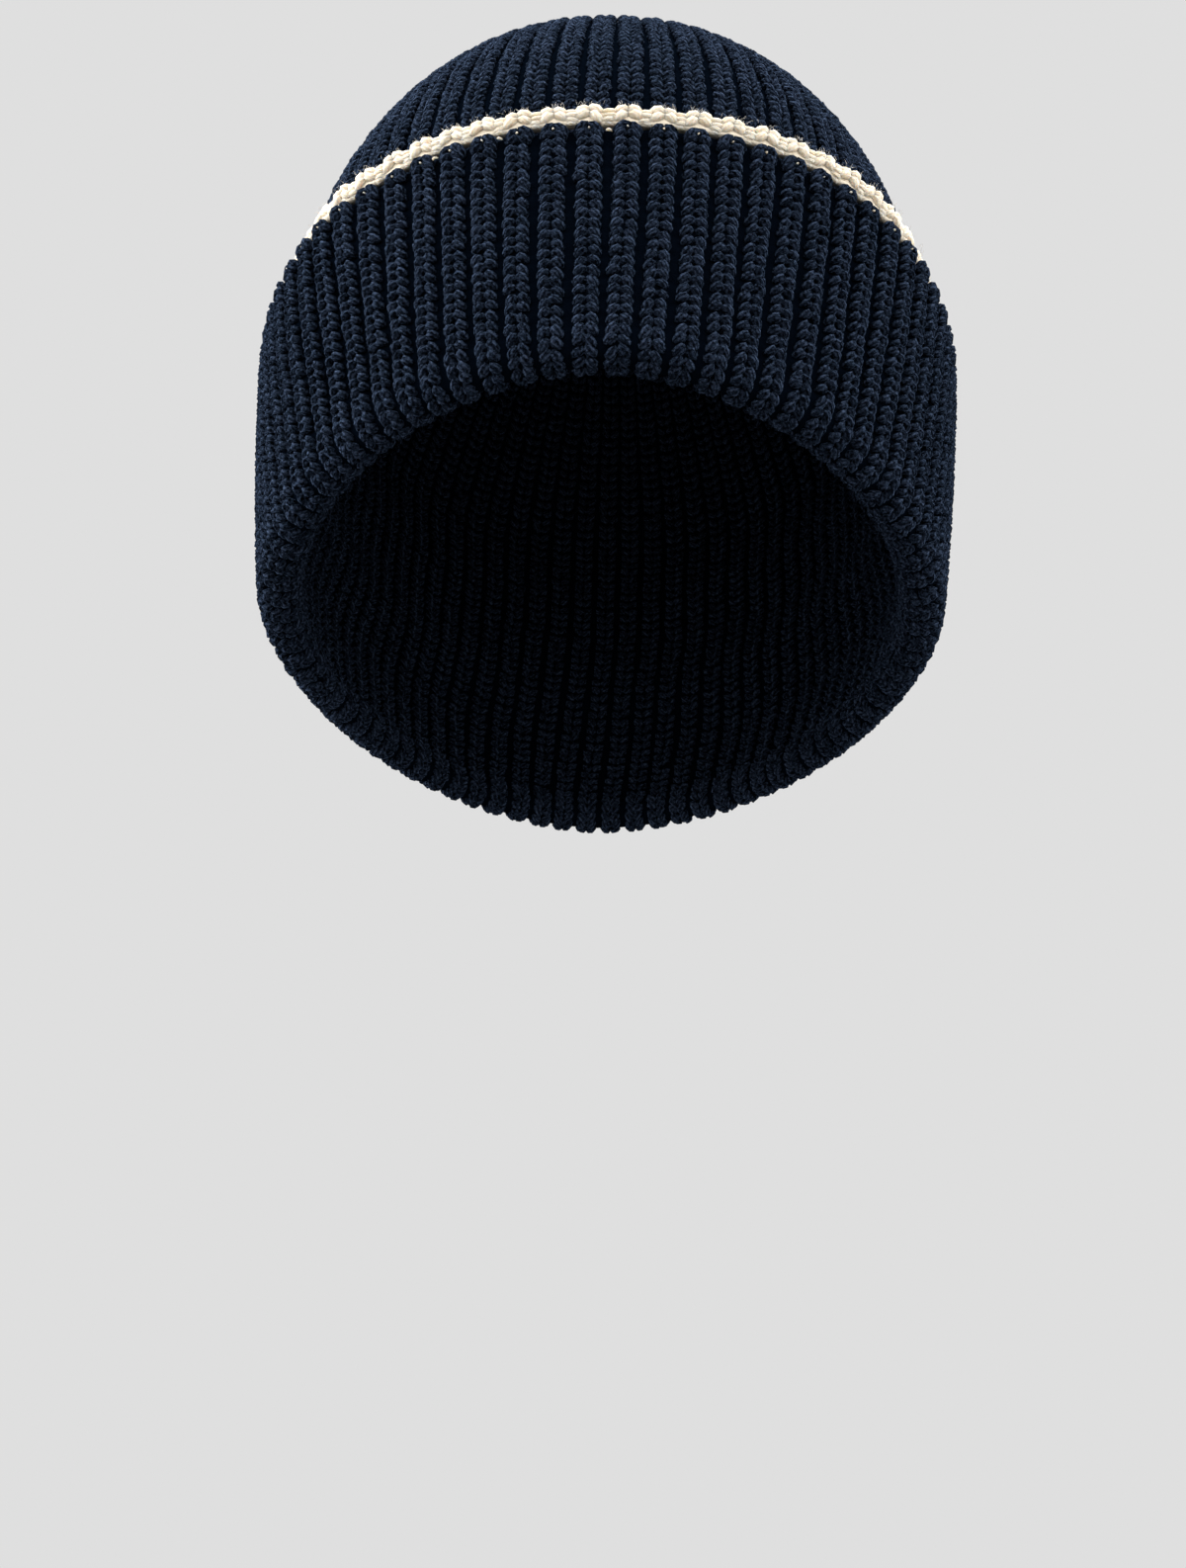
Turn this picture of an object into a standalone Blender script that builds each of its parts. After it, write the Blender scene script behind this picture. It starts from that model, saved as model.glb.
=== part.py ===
"""A ribbed cotton beanie with a turned-up cuff and a cream edge.

The hat is one knitted tube, closed at the top and folded up at the bottom.
Three solids show its three parts:

  crown          the layer that lies on the head, and the dome above it
  cuff           the roll round the opening and the layer turned up from it
  cream_tipping  the edge along the top of the turned-up layer

Frame: metres, +Z up, the front of the hat faces -Y. The origin is the centre
of the opening for the head. The hat sits as it is worn, so its own axis leans
back by TILT. All shapes are first worked out in millimetres along that axis:
x to the side, y from front to back, height up from the opening.
"""

import math
from collections import namedtuple

import bmesh
import bpy
from mathutils import Vector

MM = 0.001

# How the hat sits
TILT = math.radians(34.8)

# The knitted fabric
RIBS = 80
RIB_DEPTH = 1.6            # from a rib's ridge down to the groove beside it
FABRIC = 3.0               # between the two faces of the ribbed fabric
RIB_TURN = -0.1            # how far the front groove lies to one side, in ribs
GAP = 0.3                  # between one piece and the next

# The whole form
DEPTH_RATIO = 1.265        # half depth of a ring over its half width
FORWARD_LEAN = 0.026       # how far the rings move forward for each mm up

# The turned-up cuff, measured on the ridges of its ribs
CuffSection = namedtuple("CuffSection", "height half_width squareness")
CUFF_SECTIONS = (
    CuffSection(0.0, 84.3, 1.78),
    CuffSection(25.0, 86.8, 1.94),
    CuffSection(43.0, 87.9, 2.06),
    CuffSection(59.2, 88.6, 2.17),
)
CUFF_SLANT = 2.1           # the cuff stands this much taller on the +X side
ROLL_WIDTH = 11.2          # across the roll at the opening
INNER_LEG = 9.0            # height of the cuff's short leg inside the opening
ROLL_STEPS = 4

# The cream edge
TIPPING_HEIGHT = 4.2
TIPPING_THICKNESS = 4.4
TIPPING_PROUD = 0.4        # how far it stands out past the cuff's ridges
TIPPING_HUMP = 0.5         # how far it rises over each rib

# The crown, on the ridges of its ribs
CROWN_BASE = 61.3          # height where the dome begins
CROWN_TOP = 156.2          # height of its middle
CROWN_HALF_WIDTH = 83.3
CROWN_HALF_DEPTH = 105.5
CROWN_ROUNDNESS = 2.07     # 2 is an ellipse, more is fuller
CROWN_SQUARENESS = 2.06    # of a ring at the top

# Rings of the dome, from its base up. The ribs meet in pairs towards the top,
# so each ring has its own number of ribs. rise is the angle of the ring on the
# dome: 0 at the base, 90 at the middle.
DomeRing = namedtuple("DomeRing", "rise ribs")
DOME_RINGS = (
    DomeRing(12, RIBS),
    DomeRing(24, RIBS),
    DomeRing(36, RIBS),
    DomeRing(48, RIBS),
    DomeRing(57, RIBS // 2),
    DomeRing(66, RIBS // 2),
    DomeRing(75, RIBS // 4),
    DomeRing(84, RIBS // 8),
)

# The form of one ring: half sizes, middle, height and squareness
Ring = namedtuple("Ring", "half_width half_depth height squareness")
OUTLINE_STEPS = 1440

NAVY = (0.006, 0.010, 0.020)
CREAM = (0.79, 0.69, 0.57)


def blend(low, high, share):
    """The value that lies the given share of the way from low to high."""
    return low + (high - low) * share


def cuff_ring(height):
    """The cuff's outer ring at a height, read from its table."""
    for lower, upper in zip(CUFF_SECTIONS, CUFF_SECTIONS[1:]):
        if height <= upper.height or upper is CUFF_SECTIONS[-1]:
            share = (height - lower.height) / (upper.height - lower.height)
            half_width = blend(lower.half_width, upper.half_width, share)
            squareness = blend(lower.squareness, upper.squareness, share)
            return Ring(half_width, half_width * DEPTH_RATIO, height, squareness)


def inner_layer_ring(height):
    """The crown's ring behind the cuff: off the roll below, the dome's above."""
    outer = cuff_ring(height)
    cover = ROLL_WIDTH - FABRIC - RIB_DEPTH
    share = (height - INNER_LEG) / (CROWN_BASE - INNER_LEG)
    side_cover = blend(cover, cuff_ring(CROWN_BASE).half_width - CROWN_HALF_WIDTH, share)
    front_cover = blend(cover, cuff_ring(CROWN_BASE).half_depth - CROWN_HALF_DEPTH, share)
    return Ring(outer.half_width - side_cover, outer.half_depth - front_cover, height, outer.squareness)


def dome_ring(rise):
    """A ring of the dome at an angle up its side, in degrees."""
    angle = math.radians(rise)
    inwards = math.cos(angle) ** (2 / CROWN_ROUNDNESS)
    upwards = math.sin(angle) ** (2 / CROWN_ROUNDNESS)
    base_squareness = CUFF_SECTIONS[-1].squareness
    return Ring(
        CROWN_HALF_WIDTH * inwards,
        CROWN_HALF_DEPTH * inwards,
        blend(CROWN_BASE, CROWN_TOP, upwards),
        blend(base_squareness, CROWN_SQUARENESS, upwards),
    )


def signed_power(value, exponent):
    """A power that keeps the sign of its base."""
    return math.copysign(abs(value) ** exponent, value)


def ring_point(ring, angle, inset=0.0):
    """A point on a ring, from its front (angle 0) round by the +X side."""
    exponent = 2 / ring.squareness
    x = (ring.half_width - inset) * signed_power(math.sin(angle), exponent)
    y = -(ring.half_depth - inset) * signed_power(math.cos(angle), exponent)
    return Vector((x, y - FORWARD_LEAN * ring.height, ring.height))


def column_angles(ring, ribs, turn):
    """Angles of the grooves and ridges: evenly spaced along the ring itself."""
    outline = [ring_point(ring, 2 * math.pi * step / OUTLINE_STEPS) for step in range(OUTLINE_STEPS + 1)]
    lengths = [0.0]
    for start, end in zip(outline, outline[1:]):
        lengths.append(lengths[-1] + (end - start).length)
    columns = 2 * ribs
    angles = []
    for column in range(columns):
        target = lengths[-1] * ((column / 2 + turn) / ribs % 1.0)
        step = next(index for index, length in enumerate(lengths) if length > target) - 1
        share = (target - lengths[step]) / (lengths[step + 1] - lengths[step])
        angles.append(2 * math.pi * (step + share) / OUTLINE_STEPS)
    return angles


def groove_depth(column):
    """Even columns are grooves and odd columns are ridges."""
    return RIB_DEPTH if column % 2 == 0 else 0.0


def turned_round(ribs):
    """The front groove's place, in ribs of this ring."""
    return RIB_TURN * ribs / RIBS


def slanted(point, angle):
    """Raise a point of the cuff towards the side where the cuff is taller."""
    share = point.z / CUFF_SECTIONS[-1].height
    return point + Vector((0, 0, CUFF_SLANT * share * math.sin(angle)))


def add_face(mesh, *corners):
    """Add a face, with its corners anticlockwise as seen from outside."""
    mesh.faces.new(corners)


def bridge(mesh, lower, upper):
    """Join a ring of points to the next: as many points, or half as many."""
    count = len(lower)
    if len(upper) == count:
        for column in range(count):
            after = (column + 1) % count
            add_face(mesh, lower[column], lower[after], upper[after], upper[column])
        return
    for pair in range(len(upper)):
        first, middle, last = (lower[(2 * pair + offset) % count] for offset in range(3))
        upper_first, upper_last = upper[pair], upper[(pair + 1) % len(upper)]
        add_face(mesh, first, middle, upper_first)
        add_face(mesh, middle, upper_last, upper_first)
        add_face(mesh, middle, last, upper_last)


def close_top(mesh, ring, middle):
    """Close the last ring with a fan of triangles to its middle."""
    for column in range(len(ring)):
        add_face(mesh, ring[column], ring[(column + 1) % len(ring)], middle)


def new_piece(name, mesh, material, parent):
    """Turn a bmesh, in millimetres, into a named object in metres."""
    bmesh.ops.scale(mesh, vec=(MM, MM, MM), verts=mesh.verts)
    data = bpy.data.meshes.new(name)
    mesh.to_mesh(data)
    mesh.free()
    data.materials.append(material)
    piece = bpy.data.objects.new(name, data)
    bpy.context.scene.collection.objects.link(piece)
    piece.parent = parent
    return piece


def give_thickness(piece, thickness):
    """Give a face its thickness, inwards from its ridges."""
    wall = piece.modifiers.new("fabric", "SOLIDIFY")
    wall.thickness = thickness * MM
    wall.offset = -1.0
    wall.use_even_offset = False
    wall.use_rim = True


def make_crown(material, parent):
    """The dome and, behind the cuff, the layer that lies on the head."""
    lowest = INNER_LEG + GAP
    layer_heights = (lowest, blend(lowest, CROWN_BASE, 0.5), CROWN_BASE)
    rings = [(inner_layer_ring(height), RIBS) for height in layer_heights]
    rings += [(dome_ring(rise), ribs) for rise, ribs in DOME_RINGS]

    mesh = bmesh.new()
    loops = []
    for ring, ribs in rings:
        # The cuff's ribs sit beside the crown's, so below the dome the layer
        # leans sideways by half a rib on its way down to the roll.
        share = min(1.0, (ring.height - INNER_LEG) / (CROWN_BASE - INNER_LEG))
        turn = turned_round(ribs) + blend(0.5, 0.0, share)
        angles = column_angles(ring, ribs, turn)
        loops.append([
            mesh.verts.new(ring_point(ring, angle, groove_depth(column)))
            for column, angle in enumerate(angles)
        ])
    for lower, upper in zip(loops, loops[1:]):
        bridge(mesh, lower, upper)
    middle = mesh.verts.new((0, -FORWARD_LEAN * CROWN_TOP, CROWN_TOP - RIB_DEPTH))
    close_top(mesh, loops[-1], middle)
    crown = new_piece("crown", mesh, material, parent)
    give_thickness(crown, FABRIC)


def make_cuff(material, parent):
    """The short inner leg, the roll under it and the layer turned up outside."""
    roll_radius = ROLL_WIDTH / 2
    path = [(ROLL_WIDTH, INNER_LEG)]
    for step in range(ROLL_STEPS + 1):
        angle = math.pi * step / ROLL_STEPS
        path.append((roll_radius * (1 + math.cos(angle)), roll_radius * (1 - math.sin(angle))))
    path += [(0.0, blend(roll_radius, CUFF_SECTIONS[-1].height, 0.5)), (0.0, CUFF_SECTIONS[-1].height)]

    mesh = bmesh.new()
    loops = []
    for position, (inset, height) in enumerate(path):
        ring = cuff_ring(height)
        before, after = path[max(position - 1, 0)], path[min(position + 1, len(path) - 1)]
        run = Vector((after[0] - before[0], after[1] - before[1])).normalized()
        loop = []
        for column, angle in enumerate(column_angles(ring, RIBS, RIB_TURN)):
            depth = groove_depth(column)
            sunk = ring._replace(height=height + depth * -run.x)
            point = ring_point(sunk, angle, inset + depth * run.y)
            loop.append(mesh.verts.new(slanted(point, angle)))
        loops.append(loop)
    for lower, upper in zip(loops, loops[1:]):
        bridge(mesh, lower, upper)
    cuff = new_piece("cuff", mesh, material, parent)
    give_thickness(cuff, FABRIC)


def make_cream_tipping(material, parent):
    """The cream edge: a band that is wavy with the ribs that it finishes."""
    low = CUFF_SECTIONS[-1].height + GAP
    mesh = bmesh.new()
    loops = []
    for height, hump in ((low, 0.0), (low + TIPPING_HEIGHT, TIPPING_HUMP)):
        ring = cuff_ring(height)
        loop = []
        for column, angle in enumerate(column_angles(ring, RIBS, RIB_TURN)):
            raised = ring._replace(height=height + hump * (column % 2))
            point = ring_point(raised, angle, groove_depth(column) / 2 - TIPPING_PROUD)
            loop.append(mesh.verts.new(slanted(point, angle)))
        loops.append(loop)
    bridge(mesh, *loops)
    tipping = new_piece("cream_tipping", mesh, material, parent)
    give_thickness(tipping, TIPPING_THICKNESS)


def yarn(name, colour, roughness):
    """A matt cotton yarn of one colour."""
    material = bpy.data.materials.new(name)
    material.use_nodes = True
    shader = material.node_tree.nodes["Principled BSDF"]
    shader.inputs["Base Color"].default_value = (*colour, 1.0)
    shader.inputs["Roughness"].default_value = roughness
    shader.inputs["Metallic"].default_value = 0.0
    return material


def clear_scene():
    """Remove the objects that are in the scene already."""
    for thing in list(bpy.data.objects):
        bpy.data.objects.remove(thing, do_unlink=True)


def main():
    clear_scene()
    axis = bpy.data.objects.new("hat_axis", None)
    bpy.context.scene.collection.objects.link(axis)
    axis.rotation_euler = (-TILT, 0, 0)
    navy = yarn("navy_cotton", NAVY, 0.85)
    cream = yarn("cream_cotton", CREAM, 0.85)
    make_crown(navy, axis)
    make_cuff(navy, axis)
    make_cream_tipping(cream, axis)


main()
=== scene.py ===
"""The look of a rib-knit cotton beanie with a turned-up cuff and a cream edge.

The fabric is laid out as it is knitted. It runs down from the cream edge over
the turned-up cuff, round the roll at the opening and up inside the hat to the
middle of the crown, and its other side is the outside of the crown. Each of
these two faces is a fine net of points. A thin backing follows each layer, and
the stitches lie on it: one leg of a stitch is modelled once and copied along
every rib, row by row.

Sizes are in millimetres along the hat's own axis, and are turned to metres in
the row frame at the end.
"""

import math

import bpy
import numpy as np
from mathutils import Matrix, Vector


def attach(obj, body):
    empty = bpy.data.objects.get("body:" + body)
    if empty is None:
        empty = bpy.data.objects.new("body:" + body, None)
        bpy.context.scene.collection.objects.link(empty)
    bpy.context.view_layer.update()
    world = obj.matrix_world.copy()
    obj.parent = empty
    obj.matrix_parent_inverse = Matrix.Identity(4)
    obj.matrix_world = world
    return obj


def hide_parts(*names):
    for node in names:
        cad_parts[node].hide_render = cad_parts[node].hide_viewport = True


MM = 0.001
SEED = 7

# How the hat sits
TILT = math.radians(34.8)

# The form of the hat, as in the part's source, which has many of these names
RIBS = 80
RIB_TURN = -0.1            # the first rib's place on the crown, in ribs
CUFF_RIB_TURN = -0.23      # and on the cuff
FABRIC_RIDGE_TO_RIDGE = 4.6
DEPTH_RATIO = 1.265
FORWARD_LEAN = 0.026
CUFF_HALF_WIDTH = 84.3     # at the roll
CUFF_SWELLS = 0.12         # for each millimetre up
CUFF_DRAWS_IN = 0.0008     # for the square of the millimetres up
CUFF_SQUARENESS = 1.78     # at the roll, where under 2 is pointed to the front
CUFF_GETS_SQUARER = 0.0066  # for each millimetre up
CUFF_TOP = 59.2
CUFF_SLANT = 2.1
ROLL_WIDTH = 11.2
INNER_LEG = 9.0
INNER_COVER = 6.6          # from the cuff's face to the layer behind it, at the roll
TIPPING_TOP = 64.0
CROWN_BASE = 61.3
CROWN_TOP = 156.2
CROWN_HALF_WIDTH = 83.3
CROWN_HALF_DEPTH = 105.5
CROWN_ROUNDNESS = 2.07     # of the dome's side, where 2 is an ellipse
CROWN_SQUARENESS = 2.06    # of its rings, at the middle of the crown
CROWN_GOES_DOWN = 11.0     # how far its outside is made behind the cuff's edge

# At the temples the cuff stands off the crown a little. From there to the back
# its cream edge curls in and the crown gives way to it.
CUFF_STANDS_OFF = (1.75, 0.7)  # on the -X side and on the +X side
EDGE_CURLS_FROM = 57.5
EDGE_CURLS_IN = 4.2
CROWN_GIVES = 5.6
CURL_TURNED_ROUND = 0.02   # how far the curl is turned to +X, in radians
TURNED_ROUND = 0.045       # the same for the cuff; the crown's is as far to -X

# Each of them grows from a first value to a second, as measured by
# to_the_front() or by the height
CURLS_ROUND_SIDES = (0.80, 0.47)
STANDS_OFF_PAST_FRONT = (0.82, 0.62)
STANDS_OFF_BEFORE_SIDES = (0.10, 0.60)
STANDS_OFF_UPWARDS = (12.0, 50.0)
GIVES_ROUND_SIDES = (0.66, 0.26)
GIVES_DOWNWARDS = (96.0, 72.0)
GIVES_UPWARDS = (25.0, 50.0)

# The knit
RIB_WIDTH = 7.8            # across a rib and its groove, at the cuff
ROW = 2.43                 # from one row of stitches to the next
ROLL_ROW = 2.85            # the same where the fabric is stretched round the roll
ROLL_LEG_LENGTH = 1.18     # how much longer a leg of a stitch is there
ROLL_LEG_WIDTH = 1.04      # and how much wider
STRETCHED_BEFORE_ROLL = 3.0
STRETCHED_PAST_ROLL = 2.0
FIRST_ROW_UNDER_EDGE = 1.4
CUFF_PAST_ROLL = 3.0       # how far past the roll the cuff's pieces go
LAYER_ROWS_END = 0.5       # angle up the dome where the inner layer's rows end
CROWN_FIRST_ROW = 6.5
STRAYING = 0.028           # how far ribs stray from their places, in ribs

# How finely the net of a face follows it
OUTLINE_STEPS = 1440
FINE = 8                   # points for each rib
STATION = 1.2              # between one line of points and the next


# ------------------------------------------------
# The form
# ------------------------------------------------


def blend(low, high, share):
    """The value that lies the given share of the way from low to high."""
    return low + (high - low) * share


def eased(value, start, end):
    """0 at the start and before it, 1 at the end and past it, eased in between."""
    share = np.clip((value - start) / (end - start), 0.0, 1.0)
    return share * share * (3.0 - 2.0 * share)


def cuff_half_width(height):
    """Half the cuff's width, which swells a little from the roll upwards."""
    return CUFF_HALF_WIDTH + CUFF_SWELLS * height - CUFF_DRAWS_IN * height**2


def cuff_squareness(height):
    return CUFF_SQUARENESS + CUFF_GETS_SQUARER * height


class Ring:
    """A level line round the hat: half sizes, height and squareness."""

    def __init__(self, half_width, half_depth, height, squareness):
        self.half_width = half_width
        self.half_depth = half_depth
        self.height = height
        self.squareness = squareness

    def points(self, angle, inset=0.0):
        """Points at angles counted from the front round by the +X side."""
        exponent = 2.0 / self.squareness
        side, front = np.sin(angle), np.cos(angle)
        x = (self.half_width - inset) * np.sign(side) * np.abs(side) ** exponent
        y = -(self.half_depth - inset) * np.sign(front) * np.abs(front) ** exponent
        lean = FORWARD_LEAN * self.height
        return np.stack([x, y - lean, np.full_like(x, self.height)], axis=-1)

    def even_angles(self, turn):
        """Angles of points evenly spaced along the ring, FINE for each rib."""
        angle = np.linspace(0.0, 2.0 * np.pi, OUTLINE_STEPS + 1)
        steps = np.linalg.norm(np.diff(self.points(angle), axis=0), axis=1)
        lengths = np.concatenate([[0.0], np.cumsum(steps)])
        share = (np.arange(RIBS * FINE) / FINE + turn) / RIBS % 1.0
        return np.interp(share * lengths[-1], lengths, angle)


def cuff_ring(height):
    half_width = cuff_half_width(height)
    return Ring(half_width, half_width * DEPTH_RATIO, height, cuff_squareness(height))


def layer_share(height):
    """How far a height lies up the layer behind the cuff, from 0 to 1."""
    return np.clip((height - INNER_LEG) / (CROWN_BASE - INNER_LEG), 0.0, 1.0)


def inner_layer_ring(height, inset=0.0):
    """The layer behind the cuff, from the roll up to the dome."""
    outer, top = cuff_ring(height), cuff_ring(CROWN_BASE)
    share = layer_share(height)
    side = blend(INNER_COVER, top.half_width - CROWN_HALF_WIDTH, share)
    front = blend(INNER_COVER, top.half_depth - CROWN_HALF_DEPTH, share)
    half_width, half_depth = outer.half_width - side, outer.half_depth - front
    return Ring(half_width - inset, half_depth - inset, height, outer.squareness)


def dome_ring(rise, inset=0.0):
    """A ring of the dome at an angle up its side, in degrees."""
    angle = math.radians(rise)
    inwards = math.cos(angle) ** (2.0 / CROWN_ROUNDNESS)
    upwards = math.sin(angle) ** (2.0 / CROWN_ROUNDNESS)
    return Ring(
        (CROWN_HALF_WIDTH - inset) * inwards,
        (CROWN_HALF_DEPTH - inset) * inwards,
        blend(CROWN_BASE, CROWN_TOP - inset, upwards),
        blend(cuff_squareness(CUFF_TOP), CROWN_SQUARENESS, upwards),
    )


def to_the_front(angle, turned_round=TURNED_ROUND):
    """1 straight ahead, 0 at the hat's sides and -1 at its back."""
    return np.cos(angle - turned_round)


def past_the_temples(angle):
    """1 round the sides and the back of the hat, 0 at its front."""
    return eased(to_the_front(angle, CURL_TURNED_ROUND), *CURLS_ROUND_SIDES)


def standing_off(angle, height):
    """How far the cuff stands off the crown at the temples."""
    front = to_the_front(angle)
    at_temples = eased(front, *STANDS_OFF_PAST_FRONT) * eased(front, *STANDS_OFF_BEFORE_SIDES)
    amount = blend(*CUFF_STANDS_OFF, eased(np.sin(angle), -0.5, 0.5))
    return amount * at_temples * eased(height, *STANDS_OFF_UPWARDS)


def curled_in(angle, height):
    """How far the cuff's upper edge curls in, past the temples."""
    share = np.clip((height - EDGE_CURLS_FROM) / (TIPPING_TOP - EDGE_CURLS_FROM), 0.0, None)
    return EDGE_CURLS_IN * share**1.5 * past_the_temples(angle)


def tucked(angle, height):
    """How far the crown gives way where the cuff's edge closes on it."""
    near_edge = eased(height, *GIVES_DOWNWARDS) * eased(height, *GIVES_UPWARDS)
    at_the_sides = eased(to_the_front(angle, -TURNED_ROUND), *GIVES_ROUND_SIDES)
    return CROWN_GIVES * near_edge * at_the_sides


def slanted(points, angle, height):
    """Raise a cuff's line towards +X, where the cuff is taller."""
    raised = points.copy()
    raised[:, 2] += CUFF_SLANT * height / CUFF_TOP * np.sin(angle)
    return raised


# ------------------------------------------------
# The two faces of the fabric
# ------------------------------------------------


def spaced(start, end, step=STATION):
    """Evenly spaced values from start up to, but without, the end."""
    count = max(2, round(abs(end - start) / step))
    return np.linspace(start, end, count, endpoint=False)


# Angles up the dome, closer where it is nearly flat. The last is its middle.
DOME_START, DOME_FLAT, DOME_END = 0.3, 80.0, 89.2
DOME_RISES = np.concatenate(
    [spaced(DOME_START, DOME_FLAT, 0.75), spaced(DOME_FLAT, DOME_END, 0.4), [DOME_END]]
)


class Face:
    """A face of the fabric: lines of points from the first row to the last.

    A place on it is a column, counted in ribs from the front round by +X, and
    a distance in millimetres from its first line. Its last lines are the rings
    of the dome. outward is 1 where columns, distances and the way out are
    right-handed, and -1 where they aren't.
    """

    def __init__(self, lines, outward):
        self.outward = outward
        self.points = np.array(lines)
        steps = np.linalg.norm(np.diff(self.points, axis=0), axis=2).mean(axis=1)
        self.distances = np.concatenate([[0.0], np.cumsum(steps)])
        self.dome_distances = self.distances[-len(DOME_RISES):]
        across = np.roll(self.points, -1, axis=1) - np.roll(self.points, 1, axis=1)
        along = np.gradient(self.points, axis=0)
        normals = np.cross(across, along) * outward
        self.normals = normals / np.linalg.norm(normals, axis=2, keepdims=True)
        self.rib_widths = np.linalg.norm(across, axis=2).mean(axis=1) * FINE / 2.0

    def line_number(self, distance):
        return np.interp(distance, self.distances, np.arange(len(self.distances)))

    def rib_width(self, distance):
        return np.interp(distance, self.distances, self.rib_widths)

    def distance_down_to(self, height):
        """The first distance at which the face has come down to a height."""
        heights = self.points[:, :, 2].mean(axis=1)
        return self.distances[np.argmax(heights <= height)]

    def distance_up_dome(self, rise):
        """The distance of an angle up the dome."""
        return float(np.interp(rise, DOME_RISES, self.dome_distances))

    def rise_at(self, distance):
        """The angle up the dome at a distance."""
        return np.interp(distance, self.dome_distances, DOME_RISES)

    def place(self, column, distance, out):
        """Points that lie out from the face at columns and distances."""
        line = self.line_number(distance)
        low = np.clip(np.floor(line).astype(int), 0, len(self.points) - 2)
        share = (line - low)[..., None]
        spot = np.mod(column, RIBS) * FINE
        left = np.floor(spot).astype(int)
        part = (spot - left)[..., None]
        left = left % (RIBS * FINE)
        right = (left + 1) % (RIBS * FINE)

        def read(net):
            below = blend(net[low, left], net[low, right], part)
            above = blend(net[low + 1, left], net[low + 1, right], part)
            return blend(below, above, share)

        return read(self.points) + read(self.normals) * np.asarray(out)[..., None]


def make_turned_face():
    """The face that shows on the cuff, round the roll and inside the hat.

    Up inside, its ribs move aside by half a rib: they are the grooves of the
    crown's outside.
    """
    lines = []
    radius = ROLL_WIDTH / 2.0
    path = [(0.0, height) for height in spaced(TIPPING_TOP, radius)]
    path += [
        (radius * (1.0 - math.cos(angle)), radius * (1.0 - math.sin(angle)))
        for angle in spaced(0.0, math.pi, STATION / radius)
    ]
    path += [(ROLL_WIDTH, height) for height in spaced(radius, INNER_LEG)]
    for inset, height in path:
        ring = cuff_ring(height)
        angle = ring.even_angles(CUFF_RIB_TURN)
        inset = inset + curled_in(angle, height) - standing_off(angle, height)
        lines.append(slanted(ring.points(angle, inset), angle, height))
    for height in spaced(INNER_LEG, CROWN_BASE):
        ring = inner_layer_ring(height, FABRIC_RIDGE_TO_RIDGE)
        share = layer_share(height)
        angle = ring.even_angles(CUFF_RIB_TURN - 0.5 * share)
        points = ring.points(angle, tucked(angle, height))
        lines.append(slanted(points, angle, INNER_LEG * (1.0 - share)))
    for rise in DOME_RISES:
        ring = dome_ring(rise, FABRIC_RIDGE_TO_RIDGE)
        angle = ring.even_angles(CUFF_RIB_TURN - 0.5)
        lines.append(ring.points(angle, tucked(angle, ring.height)))
    return Face(lines, outward=-1.0)


def make_crown_face():
    """The outside of the crown, from under the cuff's edge to its middle."""
    lines = []
    rings = [
        inner_layer_ring(height)
        for height in spaced(CROWN_BASE - CROWN_GOES_DOWN, CROWN_BASE)
    ]
    rings += [dome_ring(rise) for rise in DOME_RISES]
    for ring in rings:
        angle = ring.even_angles(RIB_TURN)
        lines.append(ring.points(angle, tucked(angle, ring.height)))
    return Face(lines, outward=1.0)


# ------------------------------------------------
# Rows and ribs
# ------------------------------------------------

# The ribs of the crown, level by level: how many columns a level has, and the
# angle up the dome where it ends and its columns join in pairs
CROWN_LEVELS = ((80, 61.0), (40, 74.5), (20, 83.5), (10, 87.8), (5, DOME_END))
JOIN_ROWS = 4              # rows over which two columns come together
GROOVES_CLOSE = (8.0, 50.0)  # angles up the dome between which its grooves close
CLOSED_RIB_WIDER = 0.17    # how much wider a rib is past them
JOINING_RIB_WIDER = 0.25
NEW_RIB_NARROWER = 0.05
LEAST_RELIEF = 0.62        # of a narrow rib, as a share of a full one's


class Stitches:
    """Places of stitches on a face, one entry for each stitch.

    An entry has the stitch's column, its distance, its height, its width in
    ribs, its relief as a share of its pattern's, and its lift off the face.
    """

    def __init__(self):
        self.entries = []

    def add_row(self, columns, distance, height, width=1.0, relief=1.0, lift=0.0):
        for column, own_lift in zip(columns, np.broadcast_to(lift, len(columns))):
            self.entries.append((column, distance, height, width, relief, own_lift))

    def last_distance(self):
        return self.entries[-1][1]

    def arrays(self):
        return np.array(self.entries).T


def rib_centres():
    return np.arange(RIBS) + 0.5


def wander(columns, distance):
    """The ribs stray a little from their places, as knitted ribs do."""
    slow = np.sin(columns * 0.61 + distance * 0.045)
    slow += np.sin(columns * 1.37 - distance * 0.07 + 1.3)
    return columns + STRAYING * slow


def edge_distance(turned):
    """The distance at which the cream edge ends and the cuff starts."""
    return turned.distance_down_to(CUFF_TOP)


def roll_distances(turned):
    """The distances at which the roll starts and ends."""
    start = turned.distance_down_to(ROLL_WIDTH / 2.0)
    return start, start + math.pi * ROLL_WIDTH / 2.0


def lay_cuff_rows(turned):
    """Rows down the cuff and round the roll, where the fabric is stretched."""
    rows = Stitches()
    roll_start, roll_end = roll_distances(turned)
    distance = edge_distance(turned) + FIRST_ROW_UNDER_EDGE
    while distance < roll_end + CUFF_PAST_ROLL:
        columns = wander(rib_centres(), distance)
        if roll_start - STRETCHED_BEFORE_ROLL < distance < roll_end + STRETCHED_PAST_ROLL:
            rows.add_row(columns, distance, ROLL_ROW * ROLL_LEG_LENGTH, ROLL_LEG_WIDTH)
            distance += ROLL_ROW
        else:
            rows.add_row(columns, distance, ROW)
            distance += ROW
    return rows


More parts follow.
